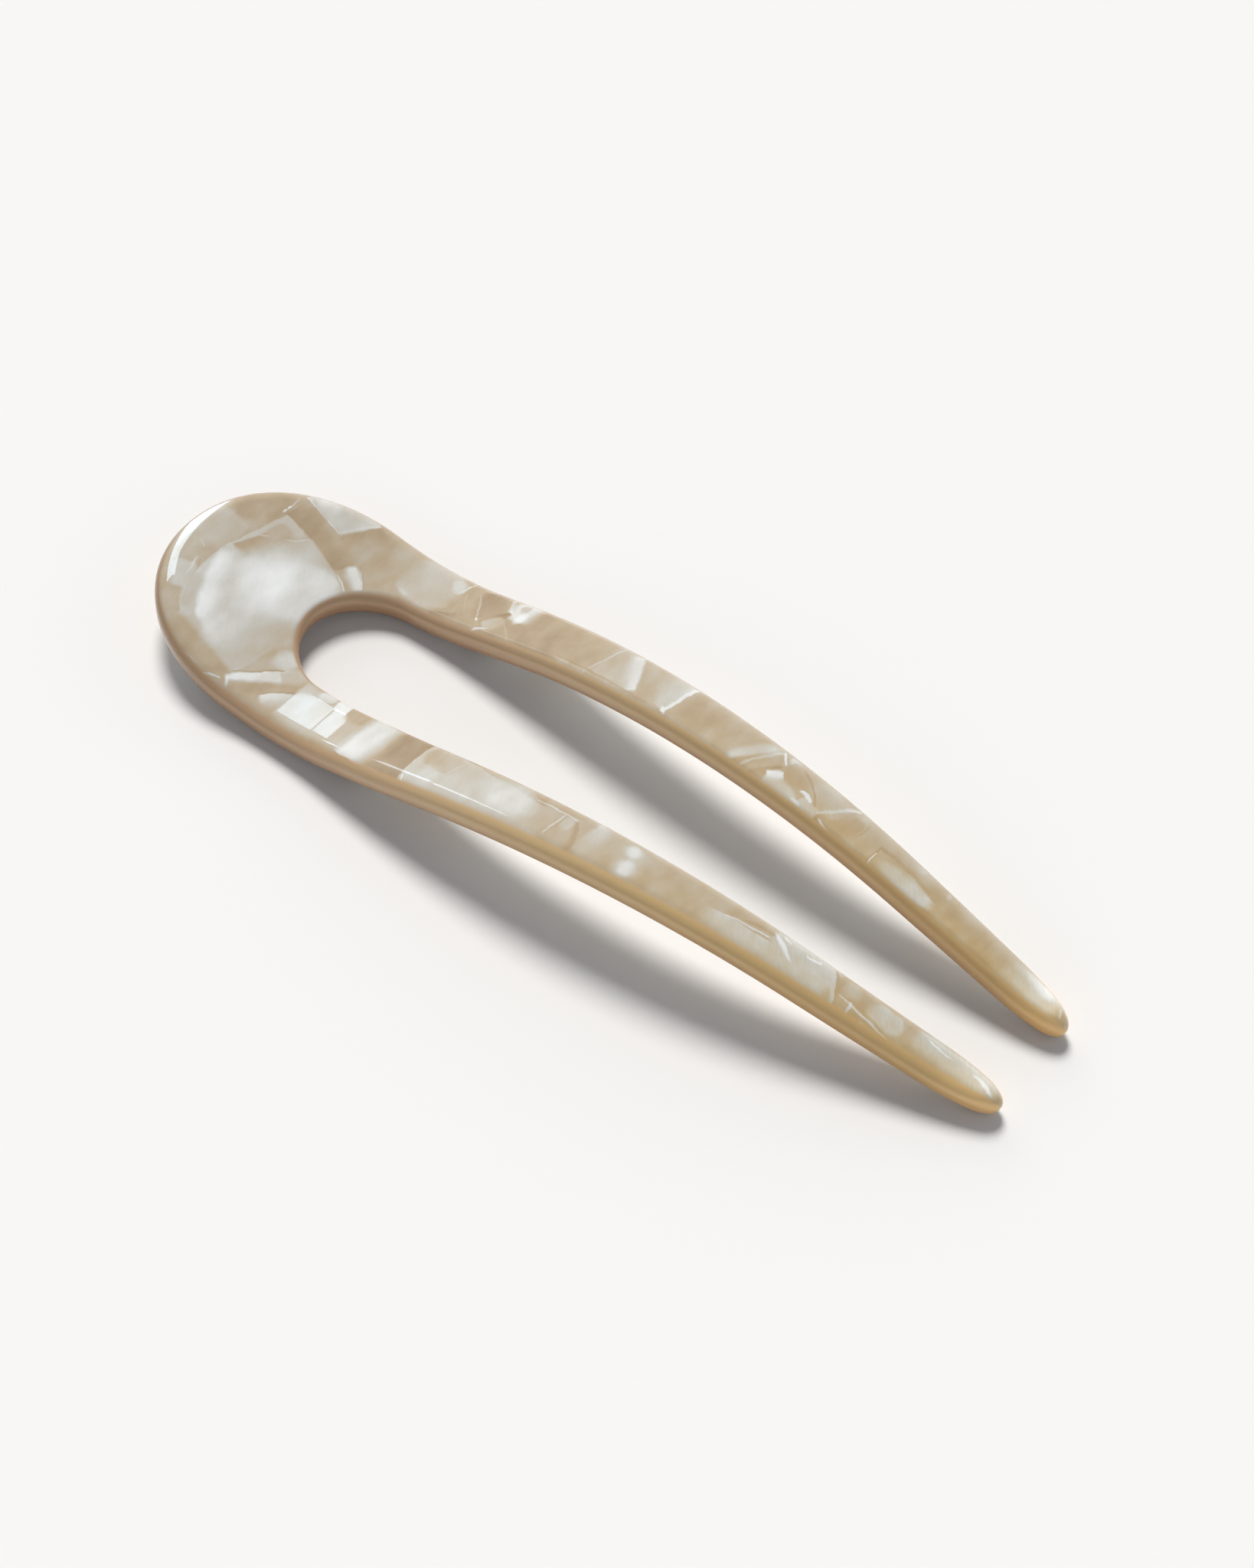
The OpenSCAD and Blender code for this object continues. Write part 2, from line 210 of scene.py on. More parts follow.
FAR_FOLDS = (
    (39.4, 17.3, 41.6, 12, 0, 1.5, 0.8, 1.6, 0.8, 0.2, 0.3, 0.33),
    (35.8, 15.2, 38.3, 11.5, 0, 0.03, 0.15, 0.1, 0.5, 0.2, 0.55, 0.45, 0.7),
    (37.4, 16.2, 40.5, 11.6, 0.1, 0.02, 0.15, 0.05, 0.5, 0.3, 0.54, 0.74, 0.8),
    (40.1, 12, 40.8, 11.3, 0, 0.1, 0.25, 0.1, 0.25, 0.8, 0.97, 0.97),
    (45.6, 17.8, 45.4, 13.2, 0, 1.3, 1.2, 1.4, 0.8, 0.4, 0.84, 0.92, 0.95),
    (44.2, 16.3, 46, 16.2, 0, 0.3, 0.6, 0.3, 0.6, 0.7, 0.5, 0.5, 0.9),
    (44.8, 14.4, 46.7, 14.2, 0, 0.2, 0.8, 0.2, 0.8, 0.8, 1, 1),
    (42.2, 17.4, 43.5, 14.7, 0, 0.2, 0.7, 0.02, 0.15, 0.1, 0.7, 0.9, 0.9),
    (43.3, 15, 44, 14.6, 0, 0.1, 0.25, 0.1, 0.25, 0.8, 1, 1),
    (43.9, 14.7, 41, 11.2, -0.1, 0.3, 0.5, 0.1, 0.2, 0.15, 0.26, 0.3),
    (41.6, 10.8, 44, 13.3, 0, 0.5, 0.5, 0.9, 0.7, 0.3, 0.54, 0.56),
    (40.9, 9.4, 43.3, 10.9, 0.2, 0.05, 0.3, 0.1, 0.5, 0.4, 0.97, 0.72),
    (43.6, 13.6, 47.2, 9.7, 0, 0.03, 0.15, 0.1, 0.4, 0.2, 0.58, 0.5, 0.7),
    (51, 16.8, 51, 9.8, 0, 2.8, 1.6, 2.6, 1.5, 0.08, 0.37, 0.34),
    (54, 12.8, 61.5, 12.8, 0, 1.5, 0.6, 1.6, 0.5, 0.35, 0.36, 0.4),
    (54, 14.2, 58.5, 14.6, 0.1, 0.1, 0.4, 0.1, 1.6, 0.5, 0.43, 0.43, 0.8),
    (63.2, 16.6, 62.6, 10.4, 0, 2.2, 0.8, 2, 0.6, 0.05, 0.46, 0.51),
    (61.7, 16.4, 59.3, 9.4, -0.25, 0.05, 0.35, 0.03, 0.15, 0.1, 0.76, 0.56, 0.9),
    (73.2, 15.9, 71.9, 9.8, 0, 0.1, 0.2, 2.6, 1.6, 0.15, 0.6, 0.6),
    (65.4, 16.6, 69.6, 10, -0.1, 0.5, 0.7, 0.5, 0.4, 0.04, 0.43, 0.44),
    (64, 16.7, 66.9, 10.4, 0.1, 0.1, 0.3, 0.4, 1.1, 0.15, 0.74, 0.86, 0.9),
    (71.9, 15.9, 71.3, 11.6, 0, 0.2, 0.4, 0.2, 0.4, 0.2, 0.56, 0.58, 0.8),
    (73.5, 15.9, 72, 9.7, 0.1, 0.1, 0.3, 0.2, 0.5, 0.06, 0.84, 0.96),
    (71.4, 10.8, 72.6, 9.4, 0, 0.1, 0.5, 0.1, 0.5, 0.8, 0.97, 0.97, 0.8),
    (54, 11, 70.5, 9.9, 0.05, 0.05, 0.2, 0.1, 0.5, 0.15, 0.3, 0.32, 0.9),
    (76.6, 15.6, 76, 9.4, 0, 2.4, 1.5, 2, 0.8, 0.08, 0.37, 0.4),
    (83, 14.8, 82, 8.6, 0, 2.4, 2, 1.4, 1.6, 0.15, 0.37, 0.41, 0.9),
    (87.4, 13.8, 82.7, 8.8, -0.3, 0.1, 0.4, 0.3, 0.7, 0.25, 0.62, 0.78, 0.9),
    (88.2, 13.8, 84.6, 8.8, -0.3, 0.1, 0.4, 0.1, 0.5, 0.1, 0.7, 0.66, 0.8),
    (89.4, 14.3, 90.2, 12.9, 0, 0.2, 0.5, 0.3, 0.3, 0.3, 0.7, 0.66, 0.9),
    (89.2, 11.9, 86, 7.8, -0.1, 0.4, 0.6, 0.2, 0.3, 0.15, 0.3, 0.34),
    (88, 8.8, 96.5, 8.4, 0, 1, 0.6, 0.8, 0.4, 0.1, 0.6, 0.62),
    (89.4, 12.6, 94, 9.9, 0.3, 0.9, 0.5, 1.1, 0.4, 0.12, 0.4, 0.42),
    (93.4, 12.8, 99.2, 10.4, 0, 1.2, 0.8, 1.3, 0.7, 0.3, 0.5, 0.53),
    (91.2, 13.2, 95.5, 9.3, 0.35, 0.2, 0.45, 0, 0.12, 0.1, 0.3, 0.36),
    (87.9, 10, 89.9, 11.2, 0.15, 0.1, 0.25, 0.3, 0.8, 0.2, 0.9, 0.88),
    (92.6, 10.3, 94.9, 9.7, 0.3, 0.1, 0.25, 0.2, 0.6, 0.2, 0.97, 0.9),
    (92.2, 8.7, 94.2, 8.5, 0, 0.1, 0.5, 0.1, 0.5, 0.8, 0.86, 0.86, 0.9),
    (87.9, 14.1, 89.4, 12.3, 0, 0.05, 0.2, 0.1, 0.3, 0.12, 0.85, 0.97),
    (100.3, 13, 96.2, 8.8, -0.15, 0.05, 0.25, 0.15, 0.7, 0.1, 0.82, 0.7, 0.9),
    (100.9, 11.9, 100.6, 8.5, 0, 0.5, 0.4, 0.5, 0.5, 0.25, 0.32, 0.35),
    (98, 9.1, 100.2, 9.2, 0, 0.4, 0.5, 0.4, 0.5, 0.5, 0.38, 0.38, 0.9),
    (101.9, 12.2, 101.2, 8.2, 0.45, 0.05, 0.25, 0.05, 0.25, 0.2, 0.32, 0.36, 0.9),
    (96.8, 8.5, 100.4, 7.6, -0.35, 0.05, 0.2, 0.1, 0.3, 0.15, 0.9, 0.8),
    (105.1, 8.4, 114.4, 8, 0.1, 0.5, 0.6, 0.8, 0.6, 0.35, 0.56, 0.76),
    (104.6, 7, 104.9, 10.3, 0.1, 0.1, 0.3, 0.05, 0.2, 0.1, 0.4, 0.32),
    (104.7, 10.3, 115.4, 8.3, 0.45, 0.25, 0.5, 0.1, 0.2, 0.05, 0.3, 0.42),
    (104.78, 9.5, 104.8, 7, 0, 0.03, 0.1, 0.03, 0.12, 0.1, 0.98, 0.98),
    (109.2, 12.2, 110.8, 11, 0, 0.2, 0.8, 0.2, 0.8, 0.8, 0.62, 0.62, 0.6),
    (114.4, 11.6, 115, 10, 0, 0.1, 0.6, 0.1, 0.6, 0.8, 0.66, 0.58, 0.7),
    (122.2, 10.4, 121.6, 6.4, 0, 0.05, 0.3, 0.05, 0.6, 0.15, 0.36, 0.34, 0.7),
    (124, 8.2, 133.6, 7, 0.2, 1, 0.9, 0.8, 1.2, 0.4, 0.5, 0.62),
    # Painted highlight: the next two rows paint the highlight along the far tip's upper edge and at
    # its end
    (127, 9.3, 132.2, 7.9, 0.2, 0.3, 0.4, 0.4, 0.8, 0.6, 0.66, 0.9, 0.9),
    (132.9, 8, 133.5, 6.4, 0.1, 0.1, 0.3, 0.1, 0.3, 0.5, 0.8, 0.72, 0.7),
)
FOLDS = [Fold(*row) for row in HEAD_FOLDS + NEAR_FOLDS + FAR_FOLDS]


# Parts of the pin that each have a material of their own, with only the folds that reach them:
# from and to along the sheet in millimetres, and the side, which is 1 far, -1 near or 0 both
Part = namedtuple("Part", "name start end side")
PARTS = [
    Part("pearl_head", -5, 17, 0),
    Part("pearl_crown", 17, 31, 0),
    Part("pearl_far_neck", 31, 60, 1),
    Part("pearl_far_prong", 60, 94, 1),
    Part("pearl_far_tip", 94, 140, 1),
    Part("pearl_near_neck", 31, 60, -1),
    Part("pearl_near_prong", 60, 94, -1),
    Part("pearl_near_tip", 94, 140, -1),
]

# How far the folds waver, in millimetres, and how much a fold narrows to its ends at most
WAVER = 0.9
NARROWING = 0.9
# A fold whose body is narrower than FINE and fades out within FINE_FADE is a glint: it is drawn
# finer and fainter than it is charted. A broad fold is drawn softer and a little fainter
FINE = 0.36
FINE_FADE = 1
FINER = 0.6
SOFTER = 1.9
GLINT = 0.8
BROAD = 0.9
# Fade that a broad fold has at least. Bright folds are brightest at their crisper side and dark
# ones darkest there, by SHEEN, and folds above PLAIN in tone are bright
LEAST_FADE = 0.3
SHEEN = 0.1
PLAIN = 0.46

# Lamps that only the polish mirrors. Each one stands where the camera sees it mirrored at x, y of
# the flat sheet, in millimetres: its distance from there, width and height in metres, how far it
# is turned about its own axis in degrees, and how bright it is
Lamp = namedtuple("Lamp", "name x y distance width height roll brightness")
LAMPS = [
    Lamp("window_left", 32.6, -13.1, 0.39, 0.0105, 0.086, 23, 7),
    Lamp("window_right", 37.1, -13.5, 0.37, 0.0105, 0.038, 23, 7),
    Lamp("head_window", 1.3, -1.6, 0.02, 0.030, 0.0115, 79, 10),
]
# Colour of those lamps: daylight, bluer than the room
DAYLIGHT = (0.64, 0.83, 1.0)
ROOM = (0.86, 0.935, 1.04)

# Ways to the key light and the side light, and how wide the side light looks
KEY_WAY = (-0.455, 0.455, 0.766)
SIDE_WAY = (-0.80, 0.46, 0.37)
SIDE_SPREAD = math.radians(40)
# How high in the room, as the sine of the angle above the floor, the low fill turns into the high
FILL_SPAN = (0.35, 0.65)

FLOOR_RADIUS = 3.0
FLOOR_SIDES = 96
# Point that the camera looks at, and the nearest and farthest places that it sees, in metres
CAMERA_AIM = (0.0024, 0.0055, 0.0)
CAMERA_CLIP = (0.01, 20)


def sizes(context):
    return context.scene.hair_pin


def studio(context):
    return context.scene.hair_pin_studio


def measure(name, description, default, least, most):
    """A length in metres"""
    return FloatProperty(
        name=name, description=description, default=default, min=least, max=most, unit="LENGTH"
    )


def paint(name, description, default, most=1):
    return FloatVectorProperty(
        name=name, description=description, default=default,
        min=0, max=most, subtype="COLOR", size=3,
    )


class PinSizes(bpy.types.PropertyGroup):
    """Sizes and finish of the hair pin"""

    length: measure("Length", "From the end of the head to the tips", 0.135, 0.115, 0.16)
    head_width: measure("Head width", "Width of the head", 0.036, 0.032, 0.044)
    sheet: measure("Sheet thickness", "Thickness of the acetate sheet", 0.004, 0.003, 0.005)
    edge: measure("Edge radius", "Radius that the edges are tumbled to", 0.00125, 0.0005, 0.0014)
    reach: measure(
        "Edge reach", "How far in from the outer edge the faces start to round",
        0.0022, 0.0005, 0.003,
    )
    slot_reach: measure(
        "Slot edge reach", "How far in from the slot the faces start to round",
        0.0014, 0.0005, 0.003,
    )
    head_round: measure("Head rounding", "Length of the head's round end", 0.0214, 0.016, 0.028)
    crown: measure(
        "Crown", "Solid length of the head, from its end to the slot", 0.0218, 0.018, 0.03
    )
    head_fullness: FloatProperty(
        name="Head fullness", description="Fullness of the head's round end, 2 is an ellipse",
        default=2.1, min=1.8, max=2.8,
    )
    slot_width: measure("Slot width", "Width of the slot where it is widest", 0.0184, 0.014, 0.022)
    slot_x: measure(
        "Widest slot", "From the end of the head to where the slot is widest", 0.052, 0.04, 0.064
    )
    slot_start: measure(
        "Slot start", "Width that the slot opens from, at the end of the crown",
        0.0159, 0.012, 0.018,
    )
    slot_round: measure("Slot rounding", "Length of the slot's round end", 0.0086, 0.005, 0.012)
    taper_x: measure(
        "Taper start", "From the end of the head to where the outline draws in", 0.045, 0.03, 0.06
    )
    draw_in: FloatProperty(
        name="Drawing in", description="How late the prongs draw in, 1 is in straight lines",
        default=1.45, min=1, max=2,
    )
    tips_width: measure(
        "Tips width", "Width over both tips, before their rounding", 0.0185, 0.016, 0.024
    )
    gap: measure("Gap", "Gap between the tips, before their rounding", 0.009, 0.006, 0.012)
    tip: measure("Tip length", "Length over which a prong narrows to its tip", 0.01, 0.006, 0.014)
    tip_fullness: FloatProperty(
        name="Tip fullness", description="Fullness of a tip seen from above, 2 is an ellipse",
        default=2.5, min=1.8, max=3.2,
    )
    nose: measure(
        "Nose length", "Length over which a prong thins to its tip", 0.0026, 0.0015, 0.004
    )
    neck_x: measure(
        "Neck", "From the end of the head to the neck, where the pin rests", 0.029, 0.024, 0.034
    )
    neck_radius: measure("Neck radius", "Radius of the bend at the neck", 0.045, 0.02, 0.06)
    head_tilt: FloatProperty(
        name="Head tilt", description="Angle at which the head rises from the neck",
        default=math.radians(11.5), min=0, max=math.radians(20), unit="ROTATION",
    )
    arch: measure("Arch height", "Clear height under the arch of the prongs", 0.0078, 0.004, 0.012)
    pearl: paint("Pearl", "Colour of the brightest folds of the pearl", (0.83, 0.82, 0.785))
    silver: paint(
        "Silver", "Colour of the pearl between its bright and its tan folds", (0.56, 0.525, 0.455)
    )
    tan: paint("Tan", "Colour of the acetate where it holds little pearl", (0.455, 0.35, 0.225))
    rose: paint(
        "Rose", "Tint that the sheet's walls take on towards the head", (0.88, 0.77, 0.78), most=2
    )
    gold: paint(
        "Gold", "Tint that the acetate takes on towards the tips", (1.08, 0.97, 0.71), most=2
    )
    wall_top: paint(
        "Wall top", "Colour of the sheet's walls just under their upper edge", (0.60, 0.43, 0.235)
    )
    # The wall foot is darker partly as painted shade, low on the walls where less light falls
    wall_foot: paint(
        "Wall foot", "Colour of the sheet's walls at their lower edge", (0.42, 0.255, 0.135)
    )
    # Brown also serves as the painted shade on the walls that face away from the front
    brown: paint("Brown", "Colour in the depth of the darkest folds", (0.27, 0.17, 0.085))
    gloss: FloatProperty(
        name="Polish roughness", description="Roughness of the polished outer skin",
        default=0.035, min=0, max=0.3,
    )


class PinStudio(bpy.types.PropertyGroup):
    """Floor, lights and camera round the hair pin"""

    paper: paint("Floor", "Colour of the floor", (0.833, 0.806, 0.77))
    key: FloatProperty(
        name="Key light", description="Strength of the soft light from behind",
        default=3.15, min=0, max=10,
    )
    key_spread: FloatProperty(
        name="Key spread", description="How wide the key light looks from the pin",
        default=math.radians(21), min=0, max=math.pi, unit="ROTATION",
    )
    side: FloatProperty(
        name="Side light", description="Strength of the low light from the left",
        default=0.6, min=0, max=10,
    )
    low_fill: FloatProperty(
        name="Low fill", description="Strength of the even light from low all round",
        default=0.9, min=0, max=5,
    )
    high_fill: FloatProperty(
        name="High fill", description="Strength of the even light from above",
        default=0.15, min=0, max=5,
    )
    mirrored_fill: FloatProperty(
        name="Mirrored room", description="Brightness of the room that the polish mirrors",
        default=0.4, min=0, max=5,
    )
    window: FloatProperty(
        name="Mirrored lamps", description="Strength of the lamps that the polish mirrors",
        default=1.0, min=0, max=10,
    )
    turn: FloatProperty(
        name="Camera turn", description="Angle of the camera round the pin, 0 looks along +Y",
        default=math.radians(38.5), unit="ROTATION",
    )
    tilt: FloatProperty(
        name="Camera tilt", description="Angle of the camera above the floor",
        default=math.radians(50.1), unit="ROTATION",
    )
    distance: measure(
        "Camera distance", "From the camera to the point that it looks at", 0.393, 0.1, 2
    )
    lens: FloatProperty(
        name="Lens", description="Focal length of the camera in millimetres",
        default=71.3, min=20, max=300,
    )


def drawn(pin, x, none_x, all_x):
    """Share of a width that is drawn in at x, from none at one place to all at another"""
    return np.maximum(0, (x - none_x) / (all_x - none_x)) ** pin.draw_in


def straight_angle(run, drop, radius):
    """Angle of a straight stretch that leaves a bend and comes down by drop within run"""
    return math.atan2(run, radius - drop) - math.acos(radius / math.hypot(run, radius - drop))


def profile(pin, x):
    """Height and angle of the sheet at x, over two bends and the straight stretches beside them"""
    arch_x = (pin.neck_x + pin.length) / 2
    run = arch_x - pin.neck_x
    both = BEND_SHARE * (run**2 + pin.arch**2) / (2 * pin.arch)
    arch_radius = both - pin.neck_radius
    flank = straight_angle(run, pin.arch, both)
    tip = straight_angle(pin.length - pin.nose - arch_x, pin.arch, arch_radius)

    def bend(middle, radius, least, most):
        angle = np.arcsin(np.clip((x - middle) / radius, math.sin(least), math.sin(most)))
        beside = x - middle - radius * np.sin(angle)
        return radius * (1 - np.cos(angle)) + beside * np.tan(angle), angle

    neck_height, neck_angle = bend(pin.neck_x, pin.neck_radius, -pin.head_tilt, flank)
    arch_height, arch_angle = bend(arch_x, -arch_radius, -tip, flank)
    in_neck = x < pin.neck_x + pin.neck_radius * math.sin(flank)
    height = np.where(in_neck, neck_height, pin.arch + arch_height)
    return height, np.where(in_neck, neck_angle, arch_angle)


def round_in(angle, fullness):
    return 1 - np.cos(angle) ** (2 / fullness)


def round_share(angle, fullness):
    return np.sin(angle) ** (2 / fullness)


def edges(pin):
    """The outer edge and the slot's edge in the flat sheet, from tip to tip round the head"""

    def outer(x):
        tapered = (pin.head_width - pin.tips_width) * drawn(pin, x, pin.taper_x, pin.length)
        return (pin.head_width - tapered) / 2

    def slot(x):
        closing = (pin.slot_width - pin.gap) * drawn(pin, x, pin.slot_x, pin.length)
        opening = (pin.slot_width - pin.slot_start) * drawn(pin, x, pin.slot_x, pin.crown)
        return (pin.slot_width - closing - opening) / 2

    angle = TIP_START + (math.pi / 2 - TIP_START) * np.arange(TIP_STEPS) / TIP_STEPS
    x = pin.length - pin.tip * round_in(angle, pin.tip_fullness)
    middle = (outer(x) + slot(x)) / 2
    half = (outer(x) - slot(x)) / 2 * round_share(angle, pin.tip_fullness)
    outer_line = [np.c_[x, middle + half]]
    slot_line = [np.c_[x, middle - half]]

    t = np.arange(PRONG_STEPS) / PRONG_STEPS
    start = pin.length - pin.tip
    x_outer = start + (pin.head_round - start) * t
    x_slot = start + (pin.crown + pin.slot_round - start) * t
    outer_line.append(np.c_[x_outer, outer(x_outer)])
    slot_line.append(np.c_[x_slot, slot(x_slot)])

    angle = math.pi / 2 * (1 - np.arange(HEAD_STEPS + 1) / HEAD_STEPS)
    x_outer = pin.head_round * round_in(angle, pin.head_fullness)
    x_slot = pin.crown + pin.slot_round * round_in(angle, SLOT_FULLNESS)
    outer_line.append(np.c_[x_outer, outer(x_outer) * round_share(angle, pin.head_fullness)])
    slot_line.append(np.c_[x_slot, slot(x_slot) * round_share(angle, SLOT_FULLNESS)])

    def whole(line):
        line = np.vstack(line)
        return np.vstack([line, (line[:-1] * [1, -1])[::-1]])

    return whole(outer_line), whole(slot_line)


def corner_depth(reach, line, across, width):
    """Depth of an edge's rounding along the section line, longer where the line is skewed"""
    index = np.arange(len(line))
    way = line[np.minimum(index + 1, len(line) - 1)] - line[np.maximum(index - 1, 0)]
    way /= np.linalg.norm(way, axis=1)[:, None]
    square = np.abs(way[:, 0] * across[:, 1] - way[:, 1] * across[:, 0])
    return np.minimum(reach / np.maximum(square, LEAST_SQUARE), width * CORNER_SHARE)


def half_section(width, depth, thickness, radius):
    """Half of every section: distance from its middle, height, and how far its face looks up"""
    flat = (width / 2 - depth)[:, None]
    depth, thickness, radius = depth[:, None], thickness[:, None], radius[:, None]
    step = (np.arange(FLAT_STEPS) / FLAT_STEPS)[None, :]
    turn = (math.pi / 2 * np.arange(CORNER_STEPS + 1) / CORNER_STEPS)[None, :]
    level = np.ones_like(flat * step)
    out = [flat * step, flat + depth * np.sin(turn)]
    up = [thickness / 2 * level, thickness / 2 - radius + radius * np.cos(turn)]
    face = [level, np.cos(turn) + 0 * flat]
    out += [flat + depth * np.cos(turn), (flat * step)[:, :0:-1]]
    up += [radius - thickness / 2 - radius * np.sin(turn), (-thickness / 2 * level)[:, :0:-1]]
    face += [-np.sin(turn) + 0 * flat, -level[:, :0:-1]]
    return np.hstack(out), np.hstack(up), np.hstack(face)


def flat_sheet(pin):
    """Every point of the pin in the flat sheet, as sections of x, y, height above the sheet's
    middle, how far it faces up, and how far it lies towards an edge that faces FRONT"""
    outer, slot = edges(pin)
    middle = (outer + slot) / 2
    width = np.linalg.norm(outer - slot, axis=1)
    across = (outer - slot) / width[:, None]
    thin = np.maximum(0, 1 - (pin.length - middle[:, 0]) / pin.nose)
    thickness = pin.sheet * np.sqrt(1 - thin**2)
    radius = np.minimum(pin.edge * TUMBLING, thickness * CORNER_SHARE)
    halves = []
    for line, side, reach in ((outer, 1, pin.reach), (slot, -1, pin.slot_reach)):
        depth = corner_depth(reach, line, across, width)
        out, up, face = half_section(width, depth, thickness, radius)
        place = middle[:, None, :] + side * out[:, :, None] * across[:, None, :]
        way = side * (across @ FRONT)[:, None] * out / (width / 2)[:, None]
        halves.append(np.dstack([place, side * up, side * face, way]))
    return np.concatenate(halves, axis=1)


def bent(pin, sheet):
    """The flat sheet's points moved onto the arch, and down to the floor about the middle"""
    height, slope = profile(pin, sheet[..., 0])
    above = sheet[..., 2]
    points = np.stack(
        [
            sheet[..., 0] - above * np.sin(slope),
            sheet[..., 1],
            height + above * np.cos(slope),
        ],
        axis=-1,
    )
    low, high = points.reshape(-1, 3).min(0), points.reshape(-1, 3).max(0)
    return points - [(low[0] + high[0]) / 2, 0, low[2]]


def part_of(x, y, height):
    """Which of PARTS a place in the sheet belongs to. The underside shows the other side's folds"""
    x, y = x / MM, y * (1 if height >= 0 else -1)
    for index, part in enumerate(PARTS):
        if part.start <= x < part.end and part.side * y >= 0:
            return index
    raise ValueError("a place of the sheet is in no part")


def pin_mesh(pin):
    """The pin as a closed mesh, with each point's place in the flat sheet and the way it faces"""
    sheet = flat_sheet(pin)
    count, loop = sheet.shape[:2]
    beside = np.roll(sheet, -1, axis=1)
    centres = (sheet[:-1] + sheet[1:] + beside[:-1] + beside[1:]) / 4
    caps = [(s.min(0) + s.max(0)) / 2 for s in (sheet[0], sheet[-1])]
    sheet = np.vstack([sheet.reshape(-1, sheet.shape[-1]), caps])
    points = bent(pin, sheet)

    build = bmesh.new()
    corners = [build.verts.new(point) for point in points]
    for i in range(count - 1):
        for j in range(loop):
            a, b = i * loop + j, i * loop + (j + 1) % loop
            face = build.faces.new([corners[k] for k in (a, b, b + loop, a + loop)])
            face.material_index = part_of(*centres[i, j, :3])
    last = (count - 1) * loop
    for j in range(loop):
        k = (j + 1) % loop
        for middle, a, b in ((-2, k, j), (-1, last + j, last + k)):
            face = build.faces.new([corners[middle], corners[a], corners[b]])
            face.material_index = part_of(*sheet[middle, :3])
    bmesh.ops.recalc_face_normals(build, faces=build.faces)
    mesh = bpy.data.meshes.new("hair_pin")
    build.to_mesh(mesh)
    build.free()
    mesh.polygons.foreach_set("use_smooth", [True] * len(mesh.polygons))

    place = mesh.attributes.new("sheet_place", "FLOAT_VECTOR", "POINT")
    place.data.foreach_set("vector", (sheet[:, :3] / MM).astype(np.float32).ravel())
    for name, column in (("sheet_face", 3), ("sheet_way", 4)):
        attribute = mesh.attributes.new(name, "FLOAT", "POINT")
        attribute.data.foreach_set("value", sheet[:, column].astype(np.float32))
    return mesh


# How the nodes stand in the editor
NODES_IN_COLUMN = 8
NODE_WIDTH = 220
NODE_HEIGHT = 200


class Bench:
    """Adds nodes to one tree and joins them up"""

    def __init__(self, tree):
        self.tree = tree
        self.count = 0

    def node(self, kind, **settings):
        node = self.tree.nodes.new(kind)
        column, row = divmod(self.count, NODES_IN_COLUMN)
        node.location = (NODE_WIDTH * column, -NODE_HEIGHT * row)
        self.count += 1
        for name, value in settings.items():
            setattr(node, name, value)
        return node

    def feed(self, socket, value):
        if isinstance(value, bpy.types.NodeSocket):
            self.tree.links.new(value, socket)
        else:
            socket.default_value = value

    def math(self, operation, *values):
        node = self.node("ShaderNodeMath", operation=operation)
        for socket, value in zip(node.inputs, values):
            self.feed(socket, value)
        return node.outputs[0]

    def vector(self, operation, *values):
        node = self.node("ShaderNodeVectorMath", operation=operation)
        for socket, value in zip(node.inputs, values):
            self.feed(socket, value)
        return node.outputs["Value" if operation == "DOT_PRODUCT" else "Vector"]

    def ramp(self, value, low, high, to_low=0.0, to_high=1.0):
        """value eased from low to high"""
        node = self.node("ShaderNodeMapRange", interpolation_type="SMOOTHSTEP")
        for name, item in (
            ("Value", value), ("From Min", low), ("From Max", high),
            ("To Min", to_low), ("To Max", to_high),
        ):
            self.feed(node.inputs[name], item)
        return node.outputs["Result"]

    def noise(self, place, scale, detail=2.0, roughness=0.5, colour=False):
        """Noise from 0 to 1, as a number or as a colour"""
        node = self.node("ShaderNodeTexNoise")
        for name, item in (
            ("Vector", place), ("Scale", scale), ("Detail", detail), ("Roughness", roughness),
        ):
            self.feed(node.inputs[name], item)
        return node.outputs["Color" if colour else "Fac"]

    def uneven(self, place, **settings):
        """Noise from half below 0 to half above"""
        return self.math("SUBTRACT", self.noise(place, **settings), 0.5)

    def mix(self, share, one, other, blend_type="MIX"):
        """Two colours mixed"""
        node = self.node("ShaderNodeMix", data_type="RGBA", blend_type=blend_type)
        for index, item in ((0, share), (6, one), (7, other)):
            self.feed(node.inputs[index], item)
        return node.outputs[2]

    def blend(self, share, one, other):
        """Two numbers mixed"""
        node = self.node("ShaderNodeMix", data_type="FLOAT")
        for index, item in ((0, share), (2, one), (3, other)):
            self.feed(node.inputs[index], item)
        return node.outputs[0]


# Spans along the sheet, in millimetres from the end of the head, over which a look comes in. Where
# the larger place stands first, the look goes out towards the tips
NECK_IN = (28.0, 36.0)
NECK_OUT = (62.0, 50.0)
SATIN_IN = (88.0, 100.0)
PAINTED_SHEEN_IN = (45.0, 95.0)
ROSE_OUT = (75.0, 20.0)
FAR_SHADE_OUT = (132.0, 126.0)
GOLD_IN = (60.0, 120.0)
GOLD_WALLS_IN = (25.0, 125.0)
TIP_GLOW_IN = (124.0, 134.0)

# Tone of the ground under the folds, and how far clouds, streaks, grain and the rest shift a tone.
# The necks are darkened by painted shade, where they lean towards the key light
GROUND = 0.42
CLOUDS = 0.25
STREAKS = 0.32
GRAIN = 0.05
RIPPLES = 0.06
SATIN_RIPPLES = 0.15
NECK_PAINTED_SHADE = -0.055
# How much the faces are lightened by painted sheen towards the edges that face away from the front
PAINTED_SHEEN = 0.09
# Tones that are painted brown, tan, silver and pearl
TONES = (0.1, 0.38, 0.64, 1.0)

